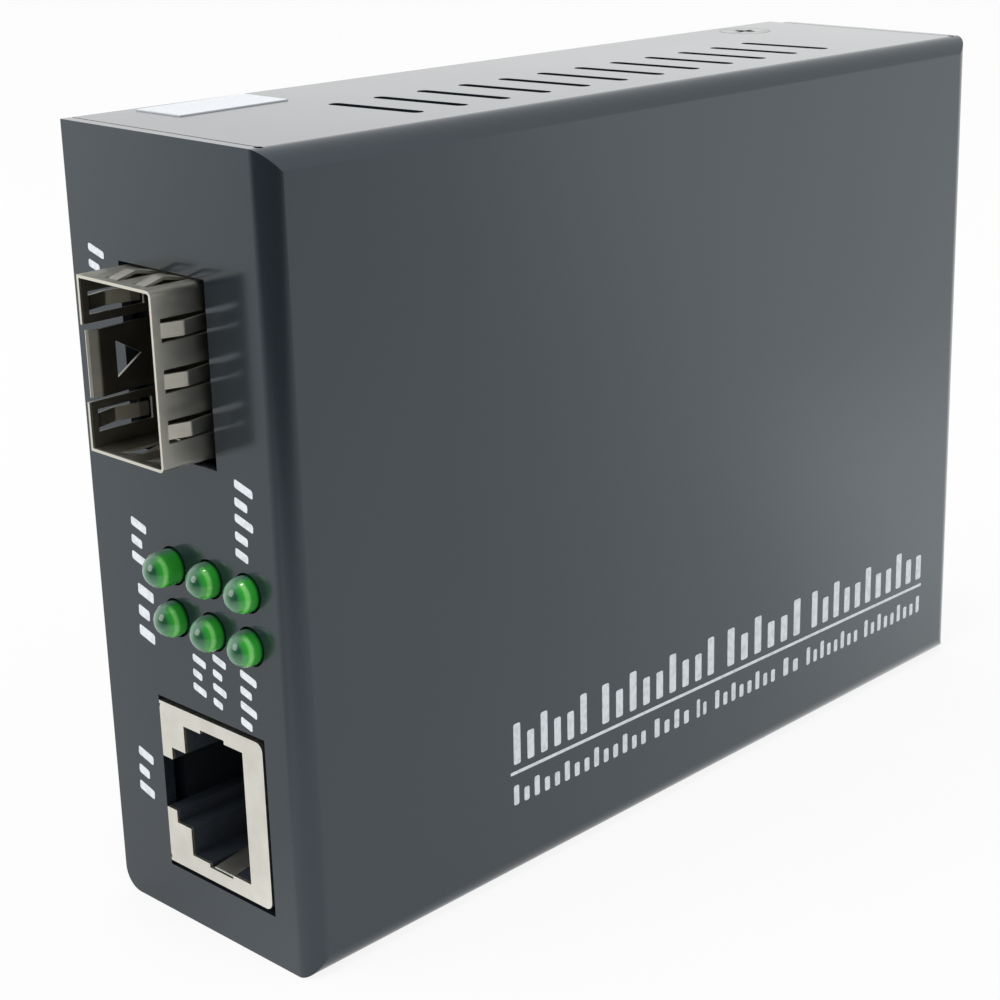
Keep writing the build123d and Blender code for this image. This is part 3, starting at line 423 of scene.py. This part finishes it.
def painted_steel():
    """Satin slate-grey coat: soft mottling, a fine skin and a few specks of dust."""
    graph = Material("painted_steel")
    place = graph.place()
    broad = graph.noise(place, 0.03, detail=4.0)
    tone = graph.mix(graph.remap(broad, 0.1, 0.9), PAINT_DARK, PAINT_LIGHT)
    fine = graph.noise(place, 5.0, detail=2.0)
    tone = graph.mix(graph.remap(fine, 0.2, 0.8, 0.0, 0.3), tone, PAINT_GRAIN)
    cells = graph.add("ShaderNodeTexVoronoi")
    graph.feed(cells.inputs["Vector"], place)
    graph.feed(cells.inputs["Scale"], 1 / DUST_SPACING)
    chance = graph.axis(cells.outputs["Color"], "X")
    rare = graph.remap(chance, DUST_FREE_SHARE, DUST_FREE_SHARE + DUST_FREE_FADE)
    size = graph.remap(graph.axis(cells.outputs["Color"], "Y"), 0.0, 1.0, DUST_SMALL, DUST_LARGE)
    near = graph.calculate("LESS_THAN", cells.outputs["Distance"], size)
    speck = graph.calculate("MULTIPLY", graph.calculate("MULTIPLY", rare, near), DUST_COVER)
    graph.colour(graph.mix(speck, tone, DUST_COLOUR))
    graph.roughness(graph.remap(broad, 0.0, 1.0, 0.1, 0.2))
    graph.bump(graph.noise(place, 1.6), 0.05, 0.05)
    graph.constants({"IOR": PAINT_IOR, "Specular Tint": PAINT_TINT})
    return graph.material


def within_box(graph, place, low, high):
    """1 inside a box given by two corners, and 0 outside it."""
    share = 1.0
    for axis, near, far in zip("XYZ", low, high):
        value = graph.axis(place, axis)
        above = graph.calculate("GREATER_THAN", value, near)
        below = graph.calculate("LESS_THAN", value, far)
        share = graph.calculate("MULTIPLY", graph.calculate("MULTIPLY", above, below), share)
    return share


def sheet_metal(name, low, high, rough, edge_highlight=None, inside=None):
    """Thin plated sheet with soft stains and rolling lines. Edge is the colour of a painted highlight on
    faces that look towards the front, such as cut edges, and inside is a box given by two corners,
    within which the plating is darkened by painted shade."""
    graph = Material(name)
    place = graph.place()
    stains = graph.noise(place, 0.45, detail=4.0)
    colour = graph.mix(graph.remap(stains, NOISE_LOW, NOISE_HIGH), low, high)
    # Painted shade on the plating inside the box
    if inside:
        painted_shade = graph.calculate("MULTIPLY", within_box(graph, place, *inside), PAINTED_SHADE_SHARE)
        colour = graph.mix(painted_shade, colour, PAINTED_INSIDE_SHADE)
    # Painted highlight on faces that look towards the front, such as cut edges
    if edge_highlight:
        geometry = graph.add("ShaderNodeNewGeometry")
        forward = graph.axis(geometry.outputs["Normal"], "Y")
        colour = graph.mix(graph.remap(forward, -0.9, -0.98), colour, edge_highlight)
    graph.colour(colour)
    graph.constants({"Metallic": 1.0})
    stretched = graph.vector("MULTIPLY", place, (1.0, 0.2, 1.0))
    lines = graph.noise(stretched, 1.6, detail=2.0)
    graph.roughness(graph.remap(lines, 0.2, 0.8, rough - 0.06, rough + 0.08))
    graph.bump(lines, 0.05, 0.03)
    return graph.material


def moulded(name, low, high, rough, grain=3.0):
    """Moulded plastic, fired ceramic or a black finish, with a fine grain."""
    graph = Material(name)
    place = graph.place()
    grains = graph.noise(place, grain)
    graph.colour(graph.mix(graph.remap(grains, NOISE_LOW, NOISE_HIGH), low, high))
    gloss = graph.noise(place, 0.5)
    graph.roughness(graph.remap(gloss, NOISE_LOW, NOISE_HIGH, rough - 0.04, rough + 0.06))
    graph.bump(grains, 0.12, 0.04)
    return graph.material


def plain_metal(name, colour, worn, rough):
    """Bare or plated metal, which changes colour and grows rougher where it is worn."""
    graph = Material(name)
    place = graph.place()
    wear = graph.noise(place, 1.2, detail=4.0)
    graph.colour(graph.mix(graph.remap(wear, 0.35, 0.7), colour, worn))
    graph.constants({"Metallic": 1.0})
    graph.roughness(graph.remap(wear, NOISE_LOW, NOISE_HIGH, rough - 0.05, rough + 0.1))
    graph.bump(graph.noise(place, 9.0), 0.05, 0.02)
    return graph.material


def lamp_lens(number):
    """Tinted lens in front, tinned steel leads behind it. The tint follows the place on the lens and
    carries
    painted light: a pale painted sheen on the side away from the large face, a painted dark core near
    the tip, a painted glow and a bright painted arc on the flank beside the large face, and painted
    shadow where the dome meets the panel."""
    low, high = (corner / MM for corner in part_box(f"led_lamp_{number}"))
    tip = Vector((high.x - LAMP_FLANGE_RADIUS, low.y, (low.z + high.z) / 2))
    graph = Material(f"lamp_lens_{number}")
    place = graph.place()
    local = graph.vector("SUBTRACT", place, tip)
    share = graph.vector("MULTIPLY", local, (1 / LAMP_RADIUS, 1.0, 1 / LAMP_RADIUS))
    across = graph.axis(share, "X")
    behind = graph.axis(share, "Y")
    radial = graph.vector("MULTIPLY", share, (1.0, 0.0, 1.0))
    # Painted sheen on the side away from the large face, plain green towards it
    tint_and_painted_light = graph.mix(graph.remap(across, -0.3, 0.6), LENS_PAINTED_SHEEN, LENS_GREEN)
    cloud = graph.noise(place, 1.1, detail=2.0)
    tint_and_painted_light = graph.mix(graph.remap(cloud, 0.4, 0.8, 0.0, 0.35), tint_and_painted_light, LENS_CLOUD)
    # Painted dark core near the tip
    from_core = graph.vector("DISTANCE", radial, LENS_PAINTED_CORE_PLACE, output="Value")
    tint_and_painted_light = graph.mix(graph.remap(from_core, 0.12, 0.5, 0.9, 0.0), tint_and_painted_light, LENS_PAINTED_CORE_SHADE)
    out = graph.vector("LENGTH", radial, output="Value")
    # Painted glow on the flank beside the large face, and a painted highlight in a thin arc near the rim
    side = graph.remap(across, 0.15, 0.5)
    painted_glow = graph.calculate("MULTIPLY", side, graph.remap(out, 0.6, 0.85))
    tint_and_painted_light = graph.mix(painted_glow, tint_and_painted_light, LENS_PAINTED_GLOW)
    painted_arc = graph.calculate("MULTIPLY", graph.remap(out, 0.85, 0.91), graph.remap(out, 0.98, 0.95))
    tint_and_painted_light = graph.mix(graph.calculate("MULTIPLY", side, painted_arc), tint_and_painted_light, LENS_PAINTED_HIGHLIGHT)
    # Painted shadow where the dome meets the panel
    painted_shadow = graph.remap(behind, FRONT_Y - low.y - 0.3, FRONT_Y - low.y)
    graph.colour(graph.mix(painted_shadow, tint_and_painted_light, LENS_PAINTED_SHADOW))
    graph.constants({"Roughness": 0.07, "IOR": 1.5, "Transmission Weight": 0.2, "Coat Weight": 0.4})
    graph.bump(graph.noise(place, 1.4), 0.03, 0.03)
    lead = graph.add("ShaderNodeBsdfPrincipled")
    for name, value in (("Base Color", LEAD_COLOUR), ("Metallic", 1.0), ("Roughness", 0.3)):
        graph.feed(lead.inputs[name], value)
    graph.cover(graph.remap(behind, LAMP_LENGTH + 0.02, LAMP_LENGTH + 0.06), lead)
    return graph.material


def board_laminate():
    """Green solder mask with faint copper tracks below it, darkened by painted shade under the copper
    port.
    """
    graph = Material("board_laminate")
    place = graph.place()
    tracks = graph.add("ShaderNodeTexBrick")
    settings = {
        "Vector": graph.vector("MULTIPLY", place, (0.0, TRACKS_PER_MM, TRACKS_PER_MM)),
        "Color1": MASK_DARK,
        "Color2": MASK_LIGHT,
        "Mortar": MASK_TRACK,
        "Mortar Size": 0.03,
        "Scale": 4.0,
    }
    for name, value in settings.items():
        graph.feed(tracks.inputs[name], value)
    # Painted shade on the board under the copper port
    under_port = graph.remap(graph.axis(place, "Y"), PORT_SHADE_Y + PORT_SHADE_FADE, PORT_SHADE_Y)
    graph.colour(graph.mix(under_port, tracks.outputs["Color"], MASK_PAINTED_SHADE))
    graph.constants({"Roughness": 0.35})
    graph.bump(tracks.outputs["Fac"], 0.1, 0.03)
    return graph.material


def printed(name, colour, shade):
    """Ink or label stock: nearly even, with faint thin places."""
    graph = Material(name)
    place = graph.place()
    thin = graph.noise(place, 1.6, detail=4.0)
    graph.colour(graph.mix(graph.remap(thin, 0.45, 0.75), colour, shade))
    graph.constants({"Roughness": 0.55})
    graph.bump(graph.noise(place, 5.0), 0.06, 0.02)
    return graph.material


def cage_inside():
    """Two corners of the box that holds the inside of the module cage, which stands on the board. The
    plating in this box gets painted shade.
    """
    shell_low, shell_high = (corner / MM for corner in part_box("sfp_cage_shell"))
    board_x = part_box("circuit_board")[1].x / MM
    middle_z = (shell_low.z + shell_high.z) / 2
    half_width = CAGE_WIDTH / 2 - CAGE_SKIN
    low = (board_x + CAGE_SKIN, shell_low.y + CAGE_SKIN, middle_z - half_width)
    high = (board_x + CAGE_HEIGHT - CAGE_SKIN, CAGE_SHADE_END_Y, middle_z + half_width)
    return low, high


def make_materials():
    """Materials by the slot names of the record, apart from the lamps, which have one each."""
    return {
        "painted_case": painted_steel(),
        "black_screws": moulded("black_screws", linear(30, 34, 38), linear(44, 48, 52), 0.16),
        "zinc_steel": plain_metal("zinc_steel", linear(194, 194, 190), linear(176, 176, 171), 0.32),
        "cage_metal": sheet_metal(
            "cage_metal", linear(214, 211, 198), linear(232, 229, 217), 0.38, PAINTED_EDGE_HIGHLIGHT, cage_inside()
        ),
        "shield_metal": sheet_metal("shield_metal", linear(232, 229, 219), linear(244, 241, 232), 0.36),
        "contact_metal": plain_metal("contact_metal", linear(222, 186, 110), linear(196, 158, 90), 0.25),
        "inlet_metal": plain_metal("inlet_metal", linear(214, 212, 204), linear(180, 178, 170), 0.2),
        "black_plastic": moulded("black_plastic", linear(44, 50, 57), linear(54, 60, 68), 0.36),
        "board_laminate": board_laminate(),
        "chip_black": moulded("chip_black", linear(30, 30, 32), linear(42, 42, 44), 0.5, grain=6.0),
        "can_metal": plain_metal("can_metal", linear(206, 207, 210), linear(176, 177, 180), 0.3),
        "ceramic_tan": moulded("ceramic_tan", linear(168, 136, 100), linear(190, 158, 118), 0.45),
        "label_white": printed("label_white", linear(230, 234, 238), linear(222, 227, 232)),
    }


def dress_nodes(materials):
    """Every CAD node gets the material of its slot in the record."""
    for entry in frame["record"]["subparts"]:
        node = frame["nodes"][entry["node"]]
        if entry["material_slot"] == "green_lens":
            material = lamp_lens(entry["node"].rpartition("_")[2])
        else:
            material = materials[entry["material_slot"]]
        node.data.materials.clear()
        node.data.materials.append(material)
        node.data.polygons.foreach_set("material_index", [0] * len(node.data.polygons))


# Print


def add_block(mesh, centre, along, across, length, width, lean=0.0):
    """Adds a thin rounded block to mesh. It is sunk into the surface that along and across span and
    stands a little proud of it. Lean pushes it forward along the line as it rises."""
    outward = along.cross(across)
    radius = min(PRINT_ROUND, length / 3, width / 3)
    outline = []
    for corner, (u, v) in enumerate(((1, 1), (-1, 1), (-1, -1), (1, -1))):
        for step in range(PRINT_ROUND_STEPS + 1):
            angle = math.pi / 2 * (corner + step / PRINT_ROUND_STEPS)
            x = u * (length / 2 - radius) + radius * math.cos(angle)
            y = v * (width / 2 - radius) + radius * math.sin(angle)
            outline.append(centre + along * (x + lean * y) + across * y)
    low = [mesh.verts.new((p + outward * (PRINT_PROUD - PRINT_THICKNESS)) * MM) for p in outline]
    high = [mesh.verts.new((p + outward * PRINT_PROUD) * MM) for p in outline]
    count = len(outline)
    mesh.faces.new(high)
    mesh.faces.new(list(reversed(low)))
    for i in range(count):
        j = (i + 1) % count
        mesh.faces.new((low[i], low[j], high[j], high[i]))


def print_piece(name, mesh, ink):
    """Turns mesh into a printed piece that rides on the case."""
    data = bpy.data.meshes.new(name)
    mesh.to_mesh(data)
    mesh.free()
    piece = bpy.data.objects.new(name, data)
    bpy.context.scene.collection.objects.link(piece)
    data.materials.append(ink)
    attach(piece, "root")


def print_line(name, start, along, across, groups, height, ink, lean=0.0):
    """One line of blocks in groups. The first block of a group and every third one have the full
    height, and the others are lower."""
    mesh = bmesh.new()
    for first, last, count in groups:
        pitch = (last - first) / count
        for index in range(count):
            full = index == 0 or (index + 1) % PRINT_FULL_EVERY == 0
            size = height if full else height * PRINT_LOW
            reach = first + pitch * (index + 0.5)
            centre = start + along * reach + across * size / 2
            add_block(mesh, centre, along, across, pitch * PRINT_FILL, size, lean)
    print_piece(name, mesh, ink)


def make_face_print(ink):
    """Two lines of blocks on the large face, with a rule between them."""
    tilt = math.radians(FACE_PRINT_TILT)
    along = Vector((0, math.cos(tilt), math.sin(tilt)))
    across = Vector((0, -math.sin(tilt), math.cos(tilt)))
    upper = Vector((FACE_X, FACE_PRINT_START, UPPER_LINE_Z))
    lower = Vector((FACE_X, FACE_PRINT_START, LOWER_LINE_Z))
    print_line("print_upper_line", upper, along, across, UPPER_GROUPS, UPPER_LINE_HEIGHT, ink)
    print_line("print_lower_line", lower, along, across, LOWER_GROUPS, LOWER_LINE_HEIGHT, ink)
    mesh = bmesh.new()
    centre = Vector((FACE_X, FACE_PRINT_START, RULE_Z)) + along * FACE_PRINT_LENGTH / 2
    add_block(mesh, centre, along, across, FACE_PRINT_LENGTH, RULE_WIDTH)
    print_piece("print_rule", mesh, ink)


def make_panel_marks(ink):
    """Short columns of blocks beside the ports and lamps, read downwards."""
    down = Vector((MARK_DRIFT, 0, -1)).normalized()
    aside = Vector((1, 0, MARK_DRIFT)).normalized()
    for name, (x, z, length, count, height) in MARKS.items():
        start = Vector((x, FRONT_Y, z))
        print_line(name, start, down, aside, [(0.0, length, count)], height, ink, MARK_LEAN)


back = make_camera()
make_world(back)
make_floor(back)
for light, (place, width, power) in LIGHTS.items():
    make_light(light, place, width, power)
dress_nodes(make_materials())
ink = printed("white_ink", linear(228, 233, 238), linear(200, 206, 212))
make_face_print(ink)
make_panel_marks(ink)
